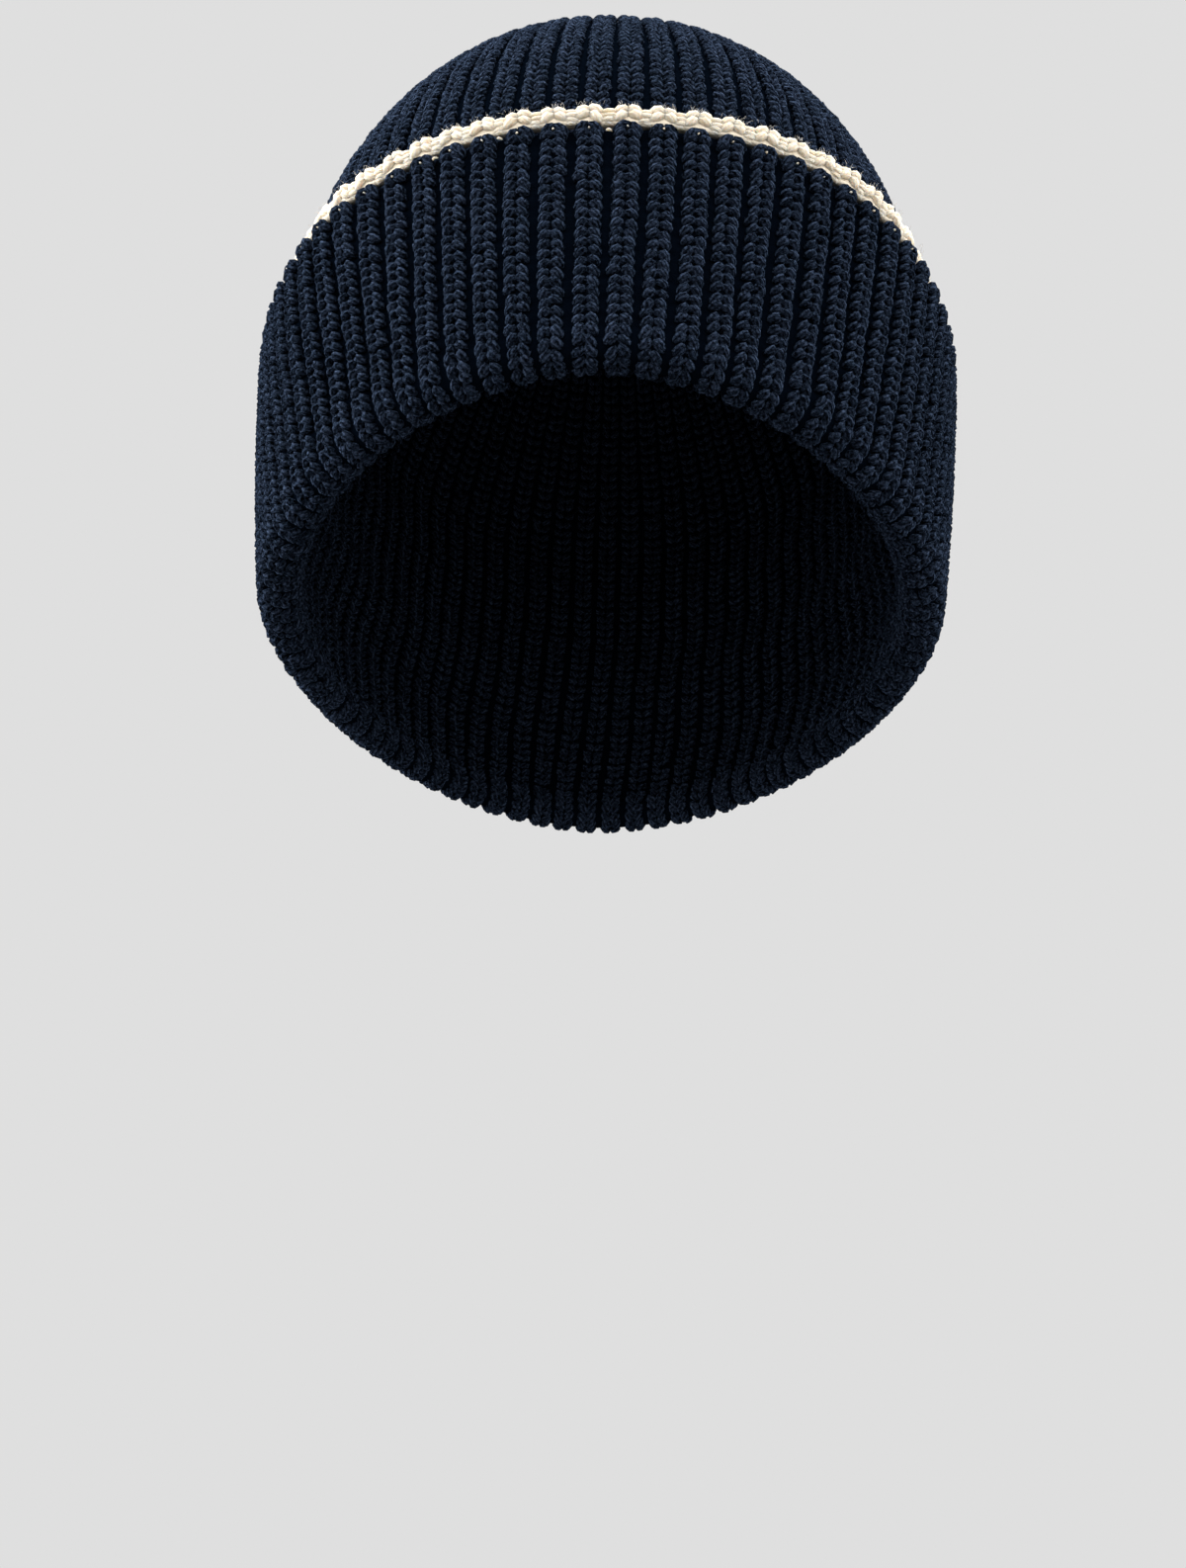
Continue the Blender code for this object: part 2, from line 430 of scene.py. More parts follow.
def lay_inner_layer_rows(turned, first):
    """Rows up the layer behind the cuff, from a distance to the dome."""
    rows = Stitches()
    distance = first
    while distance < turned.distance_up_dome(LAYER_ROWS_END):
        rows.add_row(wander(rib_centres(), distance), distance, ROW)
        distance += ROW
    return rows


def lay_dome_rows(face, first):
    """Rows from a distance up to the middle of the crown."""
    stitches = Stitches()
    distance = first
    for level, (columns_left, until) in enumerate(CROWN_LEVELS):
        end = face.distance_up_dome(until)
        rows = max(2, round((end - distance) / ROW))
        height = (end - distance) / rows
        ribs_each = RIBS // columns_left
        centres = (np.arange(columns_left) + 0.5) * ribs_each
        pairs = (np.arange(columns_left) // 2 * 2 + 1.0) * ribs_each
        joins = level < len(CROWN_LEVELS) - 1
        for row in range(rows):
            middle = distance + height * (row + 0.5)
            joining = eased(row + 1, rows - JOIN_ROWS, rows) if joins else 0.0
            starting = eased(row + 1, JOIN_ROWS, 0) if level else 0.0
            closed = eased(face.rise_at(middle), *GROOVES_CLOSE)
            width = ribs_each * (1.0 + JOINING_RIB_WIDER * joining)
            width *= (1.0 - NEW_RIB_NARROWER * starting) * (1.0 + CLOSED_RIB_WIDER * closed)
            relief = np.clip(face.rib_width(middle) * width / RIB_WIDTH, LEAST_RELIEF, 1.0)
            columns = blend(centres, pairs, 0.5 * joining)
            stitches.add_row(columns, middle, height, width, relief)
        distance = end
    return stitches


# ------------------------------------------------
# Modelling
# ------------------------------------------------

# How far stitches stray from their places, as standard deviations
STRAY_ACROSS = 0.019       # in ribs
STRAY_ALONG = 0.07
STRAY_OUT = 0.08
STRAY_IN_SIZE = 0.07       # as a share of the stitch
STRAY_IN_TURN = 0.10       # in radians

BACKING_COLUMNS = (0.0, 0.17, 0.5, 0.83)  # in ribs, from one groove to the next
MERGED = 0.00001           # metres between points that are one
POLE_OPENING = 6.0         # round the middle of the crown, drawn together


def select_vertices(mesh, chosen):
    """Select the given vertices of a mesh and nothing else, for edit mode."""
    flags = np.zeros(len(mesh.vertices), dtype=bool)
    flags[chosen] = True
    mesh.vertices.foreach_set("select", flags)
    mesh.edges.foreach_set("select", np.zeros(len(mesh.edges), dtype=bool))
    mesh.polygons.foreach_set("select", np.zeros(len(mesh.polygons), dtype=bool))


def vertex_places(mesh):
    return np.array([vertex.co[:] for vertex in mesh.vertices])


def to_row_frame(points):
    """Millimetres along the hat's axis to metres in the row frame."""
    x, y, height = points[..., 0], points[..., 1], points[..., 2]
    cosine, sine = math.cos(TILT), math.sin(TILT)
    return np.stack([x, y * cosine + height * sine, height * cosine - y * sine], axis=-1) * MM


def turn_selection(angle, axis, centre):
    """Turn what is selected. With no window, a turn about Z goes the other way."""
    sign = -1.0 if axis == "Z" else 1.0
    bpy.ops.transform.rotate(value=sign * angle, orient_axis=axis, center_override=centre)


def shape_ring(mesh, chosen, station, heading, girth):
    """Bring a ring of a strand to its station: its size, its lean, its place."""
    across, along, out, half_width, half_height = station
    centre = Vector(vertex_places(mesh)[chosen].mean(axis=0))
    select_vertices(mesh, chosen)
    bpy.ops.object.mode_set(mode="EDIT")
    if half_width > 0.0:
        size = (1.0, half_width / girth, half_height / girth)
        bpy.ops.transform.resize(value=size, center_override=centre)
        turn_selection(math.atan2(heading[2], math.hypot(*heading[:2])), "Y", centre)
        turn_selection(math.atan2(heading[1], heading[0]), "Z", centre)
    bpy.ops.transform.translate(value=Vector((across, along, out)) - centre)
    bpy.ops.object.mode_set(mode="OBJECT")


def model_strand(name, stations, sides):
    """A short length of yarn: a ball drawn out along its stations.

    A station is (across, along, out, half width, half height), in millimetres.
    The first and the last are the yarn's two tips.
    """
    rings = len(stations) - 1
    bpy.ops.object.select_all(action="DESELECT")
    bpy.ops.mesh.primitive_uv_sphere_add(
        segments=sides, ring_count=rings, radius=1.0, rotation=(0.0, -math.pi / 2.0, 0.0)
    )
    strand = bpy.context.object
    strand.name = name
    bpy.ops.object.transform_apply(location=False, rotation=True, scale=False)
    drawn_out = np.arccos(np.clip(-vertex_places(strand.data)[:, 0], -1.0, 1.0))
    order = np.round(drawn_out / math.pi * rings).astype(int)
    headings = np.gradient(np.array([station[:3] for station in stations]), axis=0)
    for number, station in enumerate(stations):
        girth = math.sin(math.pi * number / rings)
        chosen = np.flatnonzero(order == number)
        shape_ring(strand.data, chosen, station, headings[number], girth)
    return strand


class Pattern:
    """A strand's mesh as arrays, ready to be copied many times."""

    def __init__(self, points, loops, starts, totals, uv):
        self.points = points
        self.loops = loops
        self.starts = starts
        self.totals = totals
        self.uv = uv

    def mirrored(self):
        """The same strand for the other side of a rib."""
        points = self.points * np.array([-1.0, 1.0, 1.0])
        return Pattern(points, self.loops, self.starts, self.totals, self.uv).inside_out()

    def inside_out(self):
        """The same strand with its faces turned round."""
        loops, uv = self.loops.copy(), self.uv.copy()
        for start, total in zip(self.starts, self.totals):
            face = slice(start, start + total)
            loops[face] = loops[face][::-1]
            uv[face] = uv[face][::-1]
        return Pattern(self.points, loops, self.starts, self.totals, uv)


def make_pattern(name, stations, sides):
    """Model a strand, keep its mesh as a pattern and remove it."""
    strand = model_strand(name, stations, sides)
    mesh = strand.data
    pattern = Pattern(
        vertex_places(mesh),
        np.array([loop.vertex_index for loop in mesh.loops]),
        np.array([face.loop_start for face in mesh.polygons]),
        np.array([face.loop_total for face in mesh.polygons]),
        np.array([loop.uv[:] for loop in mesh.uv_layers.active.data]),
    )
    bpy.data.objects.remove(strand, do_unlink=True)
    return pattern


def make_both_sides(name, stations, sides):
    """A leg of a stitch and its mirror image."""
    pattern = make_pattern(name, stations, sides)
    return pattern, pattern.mirrored()


def copy_along(name, face, patterns, stitches, material, loose=1.0):
    """Copy patterns to every stitch on a face, as one piece."""
    random = np.random.default_rng(SEED + len(name))
    column, distance, height, width, relief, lift = (part[:, None] for part in stitches.arrays())
    count = len(column)

    def stray(deviation):
        return random.normal(0.0, deviation * loose, count)[:, None]

    copies = []
    for pattern in patterns:
        shift = stray(STRAY_ACROSS)
        slip = stray(STRAY_ALONG)
        raised = stray(STRAY_OUT) + lift
        size = 1.0 + stray(STRAY_IN_SIZE)
        turn = stray(STRAY_IN_TURN)
        x, y, z = pattern.points.T[:, None, :]
        turned_x = x * np.cos(turn) - y * np.sin(turn)
        turned_y = x * np.sin(turn) + y * np.cos(turn)
        across = column + (turned_x / RIB_WIDTH + shift) * width
        along = distance + (turned_y * size / ROW) * height + slip
        out = z * size * relief + raised
        copies.append(to_row_frame(face.place(across, along, out)))
    tones = [random.uniform(0.0, 1.0, count) for _ in patterns]
    if face.outward < 0:
        patterns = [pattern.inside_out() for pattern in patterns]
    return join_copies(name, patterns, copies, tones, material)


def join_copies(name, patterns, copies, tones, material):
    """One mesh of many copies, each with its own tone of the yarn's colour."""
    loops, totals, uv, tone = [], [], [], []
    offset = 0
    for pattern, places, own_tone in zip(patterns, copies, tones):
        count, size = places.shape[:2]
        shifts = offset + np.arange(count)[:, None] * size
        loops.append((pattern.loops[None, :] + shifts).ravel())
        totals.append(np.tile(pattern.totals, count))
        uv.append(np.tile(pattern.uv, (count, 1)))
        tone.append(np.repeat(own_tone, size))
        offset += count * size
    points = np.concatenate([places.reshape(-1, 3) for places in copies])
    mesh = build_mesh(name, points, np.concatenate(loops), np.concatenate(totals))
    layer = mesh.uv_layers.new(name="along_the_yarn")
    layer.data.foreach_set("uv", np.concatenate(uv).ravel())
    attribute = mesh.attributes.new("tone", "FLOAT", "POINT")
    attribute.data.foreach_set("value", np.concatenate(tone))
    mesh.update(calc_edges=True)
    mesh.validate()
    mesh.materials.append(material)
    piece = bpy.data.objects.new(name, mesh)
    bpy.context.scene.collection.objects.link(piece)
    return piece


def build_mesh(name, points, loops, totals):
    """A smooth mesh from points, the corners of its faces and their counts."""
    mesh = bpy.data.meshes.new(name)
    mesh.vertices.add(len(points))
    mesh.vertices.foreach_set("co", points.ravel())
    mesh.loops.add(len(loops))
    mesh.loops.foreach_set("vertex_index", loops)
    mesh.polygons.add(len(totals))
    mesh.polygons.foreach_set("loop_start", np.concatenate([[0], np.cumsum(totals)[:-1]]))
    mesh.polygons.foreach_set("use_smooth", np.ones(len(totals), dtype=bool))
    return mesh


GROOVE_WALL = (0.1, 0.35)  # from a groove's middle, in ribs
SHALLOWER_BY, SHALLOWER_OVER = 0.75, 8.0  # a share of the depth, and millimetres


def ribbed(ridge, groove, bars=0.0, row_start=0.0, shallow_from=math.inf):
    """A backing's surface: under the ribs, and lower in the grooves.

    Bars cross the grooves in step with the rows. Past the distance
    shallow_from the grooves get shallower.
    """

    def surface(column, distance):
        from_groove = np.abs((column + 0.5) % 1.0 - 0.5)
        low = groove + bars * np.cos((distance - row_start) / ROW * 2.0 * np.pi)
        if shallow_from < math.inf:
            past = eased(distance, shallow_from, shallow_from + SHALLOWER_OVER)
            low = blend(low, ridge, SHALLOWER_BY * past)
        return blend(low, ridge, eased(from_groove, *GROOVE_WALL))

    return surface


def lay_net(name, face, columns, distances, surface):
    """A sheet without thickness that lies on a surface over a face."""
    across, along = len(columns) - 1, len(distances) - 1
    bpy.ops.object.select_all(action="DESELECT")
    bpy.ops.mesh.primitive_grid_add(x_subdivisions=across, y_subdivisions=along, size=1.0)
    net = bpy.context.object
    net.name = name
    mesh = net.data
    mesh.name = name
    flat = vertex_places(mesh)
    column = columns[np.round((flat[:, 0] + 0.5) * across).astype(int)]
    distance = distances[np.round((flat[:, 1] + 0.5) * along).astype(int)]
    places = to_row_frame(face.place(column, distance, surface(column, distance)))
    mesh.vertices.foreach_set("co", places.ravel())
    mesh.update()
    bpy.ops.object.mode_set(mode="EDIT")
    bpy.ops.mesh.select_all(action="SELECT")
    bpy.ops.mesh.remove_doubles(threshold=MERGED)
    if face.outward < 0:
        bpy.ops.mesh.flip_normals()
    bpy.ops.object.mode_set(mode="OBJECT")
    return net


def make_backing(name, face, ends, step, thickness, surface, material, close_end=False):
    """A closed sheet of fabric under the stitches, between two distances."""
    columns = (np.arange(RIBS)[:, None] + np.array(BACKING_COLUMNS)[None, :]).ravel()
    columns = np.concatenate([columns, [RIBS]])
    lines = max(2, round((ends[1] - ends[0]) / step))
    backing = lay_net(name, face, columns, np.linspace(*ends, lines + 1), surface)
    if close_end:
        close_pole(backing.data)
    wall = backing.modifiers.new("fabric", "SOLIDIFY")
    wall.thickness = thickness * MM
    wall.offset = -1.0
    wall.use_even_offset = False
    bpy.ops.object.modifier_apply(modifier=wall.name)
    bpy.ops.object.shade_smooth()
    backing.data.materials.clear()
    backing.data.materials.append(material)
    return backing


def close_pole(mesh):
    """Draw the edge round the middle of the crown together and join it."""
    middle = to_row_frame(np.array([0.0, -FORWARD_LEAN * CROWN_TOP, CROWN_TOP]))
    near = np.linalg.norm(vertex_places(mesh) - middle, axis=1) < POLE_OPENING * MM
    select_vertices(mesh, np.flatnonzero(near))
    bpy.ops.object.mode_set(mode="EDIT")
    bpy.ops.mesh.merge(type="CENTER")
    bpy.ops.object.mode_set(mode="OBJECT")


# ------------------------------------------------
# Yarn
# ------------------------------------------------


def make_material(name, roughness):
    """A matt material without gloss, with its nodes' tree and its shader."""
    material = bpy.data.materials.new(name)
    material.use_nodes = True
    shader = material.node_tree.nodes["Principled BSDF"]
    shader.inputs["Roughness"].default_value = roughness
    shader.inputs["Specular IOR Level"].default_value = 0.0
    return material, material.node_tree, shader


def add_node(tree, kind, settings, inputs):
    """A new node with its settings, then the values of its inputs."""
    node = tree.nodes.new(kind)
    for name, value in settings.items():
        setattr(node, name, value)
    for name, value in inputs.items():
        node.inputs[name].default_value = value
    return node


def add_noise(tree, vector, inputs, dimensions="3D"):
    noise = add_node(tree, "ShaderNodeTexNoise", {"noise_dimensions": dimensions}, inputs)
    tree.links.new(vector, noise.inputs["Vector"])
    return noise


def add_stretch(tree, uv, scale):
    """The yarn's own UV map, stretched."""
    mapping = add_node(tree, "ShaderNodeMapping", {}, {"Scale": scale})
    tree.links.new(uv, mapping.inputs["Vector"])
    return mapping.outputs["Vector"]


def add_colour_ramp(tree, value, stops):
    ramp = tree.nodes.new("ShaderNodeValToRGB")
    elements = ramp.color_ramp.elements
    for element, (position, colour) in zip(elements, (stops[0], stops[-1])):
        element.position = position
        element.color = (*colour, 1.0)
    for position, colour in stops[1:-1]:
        elements.new(position).color = (*colour, 1.0)
    tree.links.new(value, ramp.inputs["Fac"])
    return ramp.outputs["Color"]


def add_weighing(tree, first, second, share):
    """A mix of two values, with the share that the second has in it."""
    mix = add_node(tree, "ShaderNodeMix", {"data_type": "FLOAT"}, {"Factor": share})
    tree.links.new(first, mix.inputs["A"])
    tree.links.new(second, mix.inputs["B"])
    return mix.outputs["Result"]


def add_speckles(tree, grain, socket):
    """Speckle a socket's colour with the grain, and return where it goes in."""
    settings = {"data_type": "RGBA", "blend_type": "MULTIPLY"}
    mix = add_node(tree, "ShaderNodeMix", settings, {"Factor": 1.0})
    tree.links.new(grain, mix.inputs["B"])
    tree.links.new(mix.outputs["Result"], socket)
    return mix.inputs["A"]


def add_bump(tree, shader, height, strength, depth):
    bump = add_node(tree, "ShaderNodeBump", {}, {"Strength": strength, "Distance": depth})
    tree.links.new(height, bump.inputs["Height"])
    tree.links.new(bump.outputs["Normal"], shader.inputs["Normal"])


def add_strands(tree, uv):
    """The strands that the yarn is plied from, wound along it."""
    strands = add_node(
        tree,
        "ShaderNodeTexWave",
        {"wave_type": "BANDS", "bands_direction": "DIAGONAL", "wave_profile": "SIN"},
        {"Scale": 1.35, "Distortion": 1.2, "Detail": 1.0, "Detail Scale": 1.6},
    )
    tree.links.new(add_stretch(tree, uv, (3.0, 0.9, 1.0)), strands.inputs["Vector"])
    return strands.outputs["Fac"]


def add_fibres(tree, uv, tone):
    """Single fibres, which lie along the yarn and differ between stitches."""
    along = add_stretch(tree, uv, (9.0, 2.0, 1.0))
    fibres = add_noise(tree, along, {"Scale": 1.0, "Detail": 5.0, "Roughness": 0.8}, "4D")
    stitch = add_node(tree, "ShaderNodeMath", {"operation": "MULTIPLY"}, {1: 90.0})
    tree.links.new(tone, stitch.inputs[0])
    tree.links.new(stitch.outputs["Value"], fibres.inputs["W"])
    return fibres.outputs["Fac"]


def make_yarn(name, shaded_hollows, body, lit_ridges, fuzz, relief_depth, lint_tones, glow=0.0):
    """A matt cotton yarn: plied strands, fine fibres, lint and an uneven dye.

    Its first three colours are those of its hollows, its body and its ridges.
    The relief that bumps the yarn also sets its colour, as painted shade in
    the hollows and painted highlight on the ridges. fuzz is the colour of the
    down on it.
    """
    material, tree, shader = make_material(name, 0.9)
    shader.inputs["Subsurface Weight"].default_value = glow
    shader.inputs["Subsurface Radius"].default_value = (1.0, 0.8, 0.6)
    shader.inputs["Subsurface Scale"].default_value = 1.5 * MM
    shader.inputs["Sheen Weight"].default_value = 1.0
    shader.inputs["Sheen Roughness"].default_value = 0.5

    coordinates = tree.nodes.new("ShaderNodeTexCoord")
    place, uv = coordinates.outputs["Object"], coordinates.outputs["UV"]
    tone = add_node(tree, "ShaderNodeAttribute", {"attribute_name": "tone"}, {}).outputs["Fac"]
    dye = add_noise(tree, place, {"Scale": 38.0, "Detail": 4.0}).outputs["Fac"]
    lint = add_noise(tree, place, {"Scale": 1500.0, "Detail": 2.0, "Roughness": 0.6}).outputs["Fac"]

    relief = add_weighing(tree, add_strands(tree, uv), add_fibres(tree, uv, tone), 0.78)
    add_bump(tree, shader, relief, 0.9, relief_depth)
    # The colour follows the relief: painted shade in its hollows and painted highlight on its
    # ridges, with a little of each stitch's own tone and of the uneven dye.
    shade = add_weighing(tree, relief, tone, 0.10)
    shade = add_weighing(tree, shade, dye, 0.12)
    colour = add_colour_ramp(tree, shade, ((0.42, shaded_hollows), (0.5, body), (0.58, lit_ridges)))
    low, high = lint_tones
    grain = add_colour_ramp(tree, lint, ((0.36, (low, low, low)), (0.64, (high, high, high))))
    tree.links.new(colour, add_speckles(tree, grain, shader.inputs["Base Color"]))
    add_speckles(tree, grain, shader.inputs["Sheen Tint"]).default_value = (*fuzz, 1.0)
    return material


def make_under_yarn(name, colour):
    """The shaded yarn between and behind the stitches."""
    material, tree, shader = make_material(name, 0.95)
    coordinates = tree.nodes.new("ShaderNodeTexCoord")
    fibres = add_noise(tree, coordinates.outputs["Object"], {"Scale": 1500.0, "Detail": 4.0})
    dark = tuple(0.8 * part for part in colour)
    shade = add_colour_ramp(tree, fibres.outputs["Fac"], ((0.3, dark), (0.7, colour)))
    tree.links.new(shade, shader.inputs["Base Color"])
    add_bump(tree, shader, fibres.outputs["Fac"], 0.7, 0.4 * MM)
    return material


def make_navy_cotton():
    return make_yarn(
        "navy_cotton",
        # The hollows' colour is painted shade, and the ridges' colour is a painted highlight far
        # brighter than the body.
        shaded_hollows=(0.0002, 0.0005, 0.0014),
        body=(0.0015, 0.0028, 0.0064),
        lit_ridges=(0.015, 0.020, 0.034),
        fuzz=(0.046, 0.070, 0.118),
        relief_depth=2.1 * MM,
        lint_tones=(0.1, 2.0),
    )


def make_cream_cotton():
    return make_yarn(
        "cream_cotton",
        # The hollows' colour is painted shade and the ridges' colour a painted highlight.
        shaded_hollows=(0.80, 0.67, 0.50),
        body=(0.88, 0.775, 0.63),
        lit_ridges=(0.90, 0.81, 0.69),
        fuzz=(0.02, 0.018, 0.015),
        relief_depth=0.8 * MM,
        lint_tones=(0.84, 1.0),
        glow=0.6,
    )


# ------------------------------------------------
# The stitches
# ------------------------------------------------

# One leg of a stitch: it comes up beside the middle of the rib, lies over the
# leg before it and goes down into the groove.
LEG = (
    # across, along, out, half width, half height
    (0.28, -0.46, -2.0, 0.0, 0.0),
    (0.50, -0.40, -1.26, 0.98, 0.86),
    (1.12, -0.18, -0.72, 1.15, 1.05),
    (1.76, 0.16, -0.84, 1.13, 1.02),
    (2.30, 0.50, -1.42, 0.94, 0.92),
    (2.64, 0.82, -2.6, 0.0, 0.0),
)
# The same on the crown, where the ribs are rounder and fuller
CROWN_LEG = (
    (0.08, -0.64, -1.8, 0.0, 0.0),
    (0.42, -0.50, -0.98, 1.04, 0.92),
    (1.12, -0.18, -0.80, 1.12, 1.00),
    (1.88, 0.24, -0.86, 1.10, 0.98),
    (2.44, 0.60, -1.34, 0.95, 0.92),
    (2.82, 0.90, -2.4, 0.0, 0.0),
)
# And inside the hat, with fewer stations
INSIDE_LEG = LEG[:2] + ((1.42, 0.0, -0.9, 1.05, 1.02),) + LEG[4:]
# The first leg under the cream edge closes the rib with a round head
HEAD_LEG = (
    (-0.10, -0.80, -1.9, 0.0, 0.0),
    (0.45, -0.62, -0.85, 0.95, 0.90),
    (1.20, -0.30, -0.62, 1.10, 1.05),
    (1.92, 0.36, -0.80, 1.08, 1.00),
    (2.45, 1.15, -1.40, 0.95, 0.90),
    (2.75, 1.80, -2.6, 0.0, 0.0),
)
# A leg of the cream edge, plumper
CREAM_LEG = (
    (0.20, -0.80, -2.0, 0.0, 0.0),
    (0.62, -0.62, -0.80, 1.02, 1.00),
    (1.20, -0.26, -0.50, 1.20, 1.10),
    (1.95, 0.26, -0.65, 1.18, 1.05),
    (2.65, 0.72, -1.05, 1.00, 0.95),
    (3.20, 1.05, -2.2, 0.0, 0.0),
)
# Half of a knob on top of the cream edge
KNOB = (
    (-0.25, 0.10, -1.7, 0.0, 0.0),
    (0.22, -0.25, -0.95, 1.05, 1.00),
    (1.05, -0.42, -0.55, 1.25, 1.15),
    (1.80, -0.20, -0.60, 1.20, 1.10),
    (2.45, 0.25, -1.15, 0.98, 0.95),
    (2.90, 0.65, -2.2, 0.0, 0.0),
)
# A cream strand that crosses a groove or a rib
BAR = (
    (-2.2, -0.10, -1.9, 0.0, 0.0),
    (-1.5, 0.00, -1.00, 0.56, 0.70),
    (-0.5, 0.14, -0.62, 0.66, 0.85),
    (0.5, 0.14, -0.62, 0.66, 0.85),
    (1.5, 0.00, -1.00, 0.56, 0.70),
    (2.2, -0.10, -1.9, 0.0, 0.0),
)
# A loose fibre that stands on the cream edge
FIBRE = (
    (0.00, 0.55, -0.50, 0.0, 0.0),
    (0.10, -0.20, 0.10, 0.040, 0.040),
    (-0.10, -1.10, 0.40, 0.030, 0.030),
    (0.20, -1.90, 0.55, 0.0, 0.0),
)


# ------------------------------------------------
# The navy pieces
# ------------------------------------------------

BACKING_THICKNESS = 0.5
HEADS_ABOVE_EDGE = 0.2     # where the rib heads lie
CUFF_SHALLOW_ABOVE = 22.0  # how far before the roll's end its grooves get shallower
CROWN_BACKING_FROM = 4.0
BACKINGS_OVERLAP = 1.0     # of the cuff's and the inner layer's
LAYER_BACKING_END = 3.0    # angle up the dome where the inner layer's ends


def make_cuff(turned, rows, yarn, shade):
    """The turned-up cuff, with the heads of its ribs under the cream edge."""
    edge = edge_distance(turned)
    roll_end = roll_distances(turned)[1]
    legs = make_both_sides("stitch_leg", LEG, 5)
    stitches = copy_along("cuff_stitches", turned, legs, rows, yarn)
    head_row = Stitches()
    head_row.add_row(wander(rib_centres(), edge), edge - HEADS_ABOVE_EDGE, ROW)
    head_legs = make_both_sides("head_leg", HEAD_LEG, 6)
    heads = copy_along("cuff_rib_heads", turned, head_legs, head_row, yarn)
    shallow_from = roll_end - CUFF_SHALLOW_ABOVE
    surface = ribbed(-1.2, -2.4, bars=0.36, row_start=edge, shallow_from=shallow_from)
    ends = (edge, roll_end + CUFF_PAST_ROLL)
    backing = make_backing(
        "cuff_backing", turned, ends, 0.7 * ROW, BACKING_THICKNESS, surface, shade
    )
    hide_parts("cuff")
    return [stitches, heads, backing]


def make_inside_stitches(turned, first, yarn):
    """The stitches inside the hat, from a distance to the middle of the dome."""
    layer_rows = lay_inner_layer_rows(turned, first)
    dome_rows = lay_dome_rows(turned, layer_rows.last_distance() + ROW / 2.0)
    legs = make_both_sides("inside_stitch_leg", INSIDE_LEG, 4)
    return [
        copy_along("inner_layer_stitches", turned, legs, layer_rows, yarn),
        copy_along("crown_inside_stitches", turned, legs, dome_rows, yarn),
    ]


def make_crown(crown, yarn, shade):
    """The crown's outside. The two legs of its stitches are a piece each."""
    rows = lay_dome_rows(crown, CROWN_FIRST_ROW)
    one, other = make_both_sides("crown_leg", CROWN_LEG, 5)
    one_legs = copy_along("crown_stitches_one_leg", crown, [one], rows, yarn)
    other_legs = copy_along("crown_stitches_other_leg", crown, [other], rows, yarn)
    ends = (CROWN_BACKING_FROM, crown.distances[-1])
    surface = ribbed(-1.3, -1.75)
    backing = make_backing(
        "crown_backing", crown, ends, 1.5 * ROW, BACKING_THICKNESS, surface, shade, close_end=True
    )
    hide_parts("crown")
    return [one_legs, other_legs, backing]


def make_inner_layer_backing(turned, shade):
    start = roll_distances(turned)[1] + CUFF_PAST_ROLL - BACKINGS_OVERLAP
    ends = (start, turned.distance_up_dome(LAYER_BACKING_END))
    surface = ribbed(-1.7, -2.6)
    return make_backing(
        "inner_layer_backing", turned, ends, 1.5 * ROW, BACKING_THICKNESS, surface, shade
    )


# ------------------------------------------------
# The cream edge
# ------------------------------------------------

RIBS_SINK, GROOVES_SINK = 0.8, 1.5  # where the edge curls in, past the temples
KNOBS_AT, LEGS_AT = 1.6, 3.0        # distances from the top of the edge
CREAM_BODY = 2.2                    # how thick it is under its strands
CREAM_BODY_SINKS = 0.95
CREAM_BODY_FROM = 0.8
CREAM_BODY_STOPS = 1.7              # before the cuff's navy starts

# The strands that cross each groove of the edge
GROOVE_STRANDS = (
    # distance, height in rows, width in ribs, relief, lift
    (1.9, 1.0, 0.90, 1.0, 0.0),
    (3.1, 1.0, 1.00, 1.0, 0.0),
    (4.2, 1.0, 0.80, 1.0, -0.3),
    (5.0, 0.8, 0.62, 0.9, -0.8),
)
# The strands on the back of the edge, behind the ribs and the grooves in turn
BACK_STRANDS = (
    # distance, width in ribs, lift
    (0.5, 1.1, -1.3),
    (0.7, 1.1, -1.5),
    (1.2, 1.0, -2.6),
    (1.6, 1.0, -2.2),
)
# Grooves of the cuff, counted from the middle of the front, with a cream strand
GROOVES_WITH_A_STRAND = (-5, -3, 0)
FIBRES_A_RIB = 28


def angle_of(column):
    """The angle at which a column of the cuff's edge lies."""
    angles = cuff_ring(CUFF_TOP).even_angles(CUFF_RIB_TURN)
    return angles[np.round(column * FINE).astype(int) % len(angles)]


def make_cream_backing(turned, shade):
    """The body of the cream edge, under its strands."""

    def level(column, distance):
        return np.full_like(column, -CREAM_BODY_SINKS)

    ends = (CREAM_BODY_FROM, edge_distance(turned) - CREAM_BODY_STOPS)
    backing = make_backing("cream_backing", turned, ends, ROW / 2.0, CREAM_BODY, level, shade)
    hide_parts("cream_tipping")
    return backing


def lay_specks(edge, ribs, grooves, sunk, random):
    """Cream that shows under the edge: in a few grooves, and on every rib."""
    specks = Stitches()
    some = grooves[list(GROOVES_WITH_A_STRAND)]
    specks.add_row(some, edge + 0.95, height=0.27 * ROW, width=0.34, relief=0.5, lift=0.2)
    risen = random.uniform(-0.1, 0.4, RIBS) + 0.5 * sunk
    specks.add_row(ribs, edge + 0.35, height=0.26 * ROW, width=0.11, relief=0.35, lift=risen)
    return specks


def lay_fuzz(ribs, random):
    """Fibres spread along the top of the cream edge."""
    fuzz = Stitches()
    for _ in range(FIBRES_A_RIB):
        columns = ribs + random.uniform(-0.3, 0.3, RIBS)
        lifts = random.uniform(-1.2, 0.7, RIBS)
        for column, lift in zip(columns, lifts):
            reach = random.uniform(0.2, 0.7) * ROW
            distance = random.uniform(0.2, 1.0)
            width = random.uniform(0.4, 1.0)
            fuzz.add_row([column], distance, reach, width, lift=lift)
    return fuzz


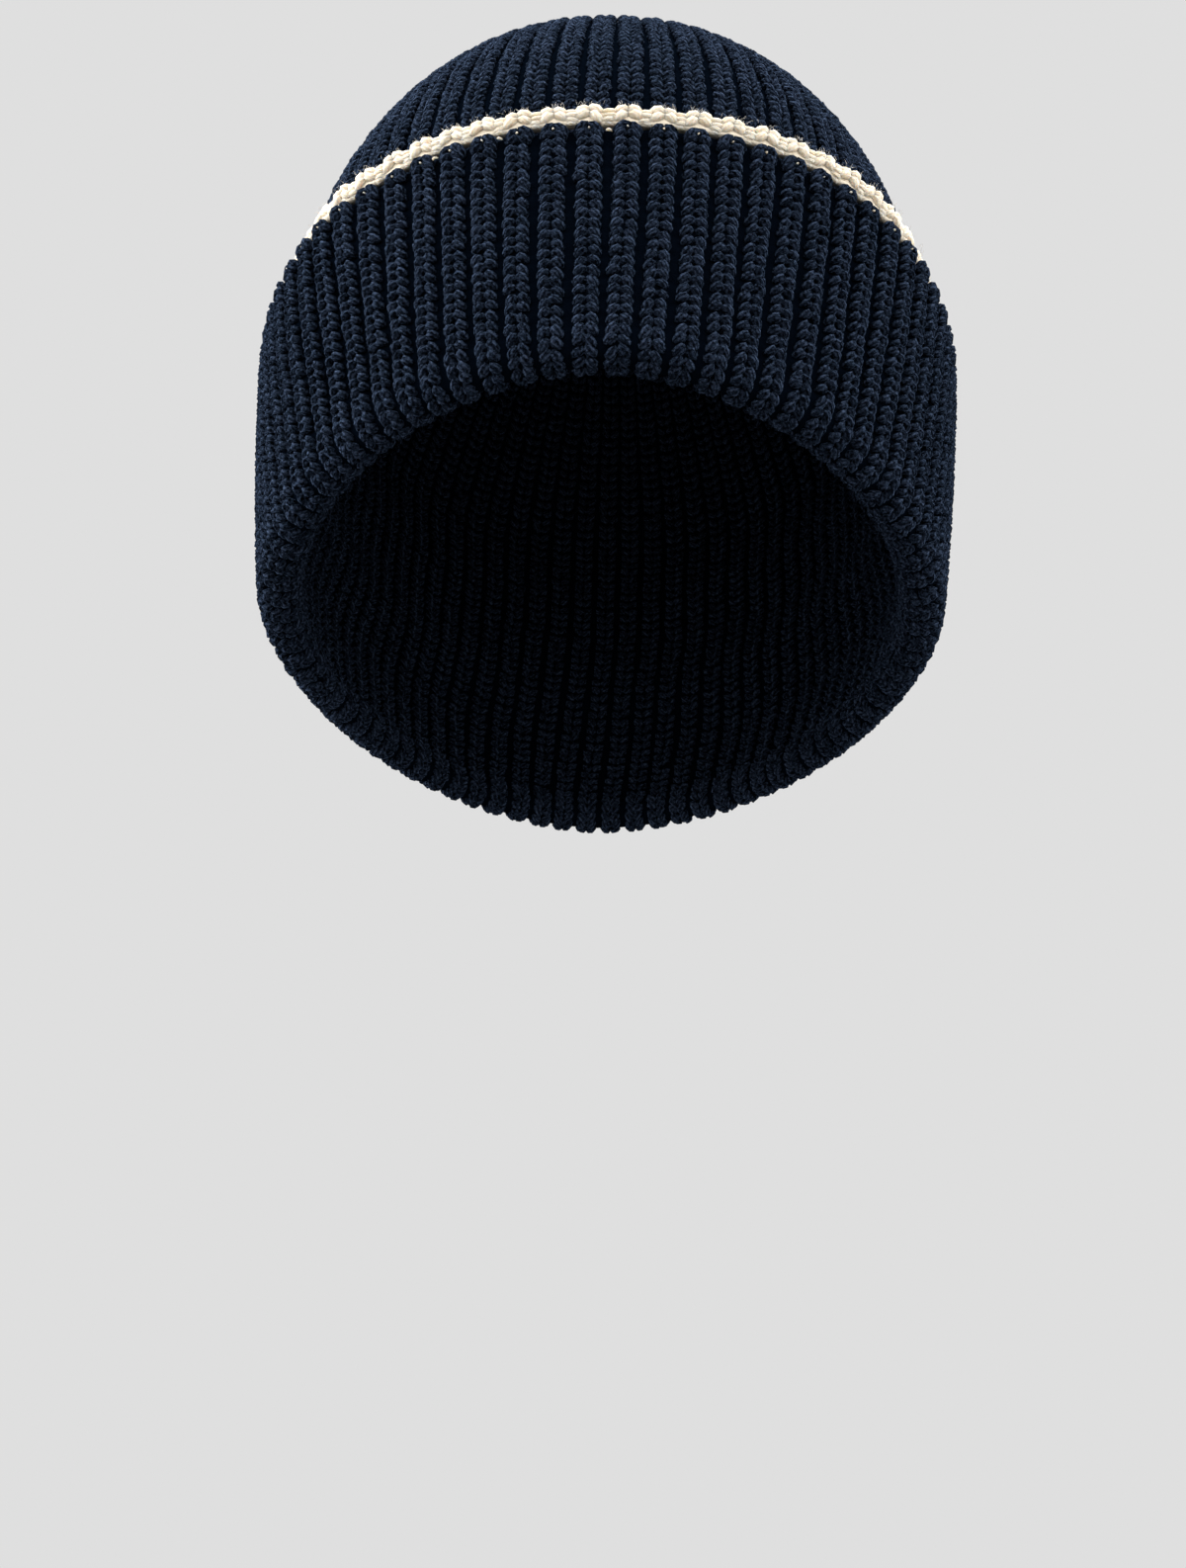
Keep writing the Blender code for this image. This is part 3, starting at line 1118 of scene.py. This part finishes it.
def make_cream_edge(turned, yarn):
    """Knobs along the top, plump legs under them and strands in the grooves."""
    edge = edge_distance(turned)
    ribs = wander(rib_centres(), edge)
    grooves = wander(np.arange(RIBS) * 1.0, edge)
    sunk = -RIBS_SINK * past_the_temples(angle_of(ribs))
    sunk_deep = -GROOVES_SINK * past_the_temples(angle_of(grooves))

    knobs, legs, bars, back = (Stitches() for _ in range(4))
    knobs.add_row(ribs, KNOBS_AT, ROW, lift=sunk)
    legs.add_row(ribs, LEGS_AT, ROW, lift=sunk)
    for distance, rows, width, relief, lift in GROOVE_STRANDS:
        bars.add_row(grooves, distance, ROW * rows, width, relief, sunk_deep + lift)
    for number, (distance, width, lift) in enumerate(BACK_STRANDS):
        back.add_row(grooves if number % 2 else ribs, distance, ROW, width, lift=lift)
    random = np.random.default_rng(SEED)
    specks = lay_specks(edge, ribs, grooves, sunk, random)
    fuzz = lay_fuzz(ribs, random)

    both_knobs = make_both_sides("cream_knob", KNOB, 6)
    both_legs = make_both_sides("cream_leg", CREAM_LEG, 6)
    bar = [make_pattern("cream_bar", BAR, 6)]
    hair = [make_pattern("cream_fibre", FIBRE, 3)]
    return [
        copy_along("cream_fuzz", turned, hair, fuzz, yarn, loose=3.5),
        copy_along("cream_knobs", turned, both_knobs, knobs, yarn),
        copy_along("cream_legs", turned, both_legs, legs, yarn),
        copy_along("cream_bars", turned, bar, bars, yarn),
        copy_along("cream_specks", turned, bar, specks, yarn, loose=1.5),
        copy_along("cream_back", turned, bar, back, yarn),
    ]


# ------------------------------------------------
# The studio
# ------------------------------------------------

WHITE, BLACK = (1.0, 1.0, 1.0, 1.0), (0.0, 0.0, 0.0, 1.0)
PALE_GREY = 0.738          # of the walls and the floor, as the camera sees them
WALLS_LIGHT, FLOOR_LIGHT = 0.88, 0.45  # how strongly they light the hat
FLOOR_HEIGHT, FLOOR_RADIUS = -2.5, 60.0  # in metres

LIGHTS = (
    # name, place, size in metres, power in watts
    ("front_left_light", (-0.62, -1.00, 0.94), 0.7, 6.6),
    ("front_right_light", (0.62, -1.00, 0.94), 0.7, 6.6),
    ("left_light", (-1.22, 0.12, 0.30), 0.9, 31.0),
    ("right_light", (1.20, 0.12, 0.32), 0.9, 13.5),
    ("top_light", (0.0, 0.46, 1.16), 1.0, 29.0),
)
LIT = (0.0, 0.02, 0.05)    # where the lights point

CAMERA_PLACE = (-0.0005, -0.5993, 0.0149)
CAMERA_LOOKS_DOWN = math.radians(4.97)
CAMERA_ROLL = 0.032        # in radians
LENS, SENSOR = 55.61, 36.0  # in millimetres, as a camera's are given


def seen_and_lit(tree, seen, lit):
    """A light that the camera sees at one strength and the hat at another."""
    path = tree.nodes.new("ShaderNodeLightPath")
    mix = add_node(tree, "ShaderNodeMix", {"data_type": "FLOAT"}, {"A": lit, "B": seen})
    tree.links.new(path.outputs["Is Camera Ray"], mix.inputs["Factor"])
    return mix.outputs["Result"]


def make_world():
    world = bpy.data.worlds.new("studio")
    world.use_nodes = True
    tree = world.node_tree
    background = tree.nodes["Background"]
    background.inputs["Color"].default_value = WHITE
    tree.links.new(seen_and_lit(tree, PALE_GREY, WALLS_LIGHT), background.inputs["Strength"])
    bpy.context.scene.world = world


def make_floor():
    bpy.ops.object.select_all(action="DESELECT")
    bpy.ops.mesh.primitive_circle_add(
        vertices=96, radius=FLOOR_RADIUS, fill_type="NGON", location=(0.0, 0.0, FLOOR_HEIGHT)
    )
    floor = bpy.context.object
    floor.name = "studio_floor"
    plain, tree, shader = make_material("pale_floor", 1.0)
    shader.inputs["Base Color"].default_value = BLACK
    shader.inputs["Emission Color"].default_value = WHITE
    tree.links.new(seen_and_lit(tree, PALE_GREY, FLOOR_LIGHT), shader.inputs["Emission Strength"])
    floor.data.materials.append(plain)


def make_soft_light(name, place, size, power):
    light = bpy.data.lights.new(name, "AREA")
    light.shape = "SQUARE"
    light.size = size
    light.energy = power
    holder = bpy.data.objects.new(name, light)
    bpy.context.scene.collection.objects.link(holder)
    holder.location = place
    aim = Vector(LIT) - Vector(place)
    holder.rotation_euler = aim.to_track_quat("-Z", "Y").to_euler()


def make_camera():
    camera = bpy.data.cameras.new("camera")
    camera.lens = LENS
    camera.sensor_width = SENSOR
    camera.clip_start = 0.01
    holder = bpy.data.objects.new("camera", camera)
    bpy.context.scene.collection.objects.link(holder)
    pitch = Matrix.Rotation(math.radians(90.0) - CAMERA_LOOKS_DOWN, 4, "X")
    roll = Matrix.Rotation(CAMERA_ROLL, 4, "Z")
    holder.matrix_world = Matrix.Translation(CAMERA_PLACE) @ pitch @ roll
    bpy.context.scene.camera = holder


def make_studio():
    bpy.context.scene.view_settings.view_transform = "Standard"
    make_world()
    make_floor()
    for light in LIGHTS:
        make_soft_light(*light)
    make_camera()


# ------------------------------------------------
# The hat
# ------------------------------------------------


def make_navy_pieces(turned):
    navy = make_navy_cotton()
    # The navy yarn behind and between the stitches, with its colour painted darker than theirs:
    # painted shade that keeps the grooves near black.
    shade = make_under_yarn("shaded_navy_cotton", (0.0012, 0.0025, 0.0052))
    cuff_rows = lay_cuff_rows(turned)
    pieces = make_cuff(turned, cuff_rows, navy, shade)
    pieces += make_inside_stitches(turned, cuff_rows.last_distance() + ROW, navy)
    pieces += make_crown(make_crown_face(), navy, shade)
    pieces.append(make_inner_layer_backing(turned, shade))
    return pieces


def make_cream_pieces(turned):
    cream = make_cream_cotton()
    shade = make_under_yarn("shaded_cream_cotton", (0.92, 0.82, 0.66))
    return [make_cream_backing(turned, shade)] + make_cream_edge(turned, cream)


def ride_and_slot(pieces):
    """Tell the frame what the pieces ride on."""
    for piece in pieces:
        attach(piece, "root")


def make_hat():
    turned = make_turned_face()
    ride_and_slot(make_navy_pieces(turned))
    ride_and_slot(make_cream_pieces(turned))


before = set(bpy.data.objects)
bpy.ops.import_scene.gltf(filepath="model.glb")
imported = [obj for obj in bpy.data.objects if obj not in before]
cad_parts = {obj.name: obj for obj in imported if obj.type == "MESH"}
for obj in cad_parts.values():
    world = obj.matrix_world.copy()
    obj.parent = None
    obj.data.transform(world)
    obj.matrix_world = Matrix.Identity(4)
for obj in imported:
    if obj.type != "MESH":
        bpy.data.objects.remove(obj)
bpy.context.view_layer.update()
make_hat()
make_studio()
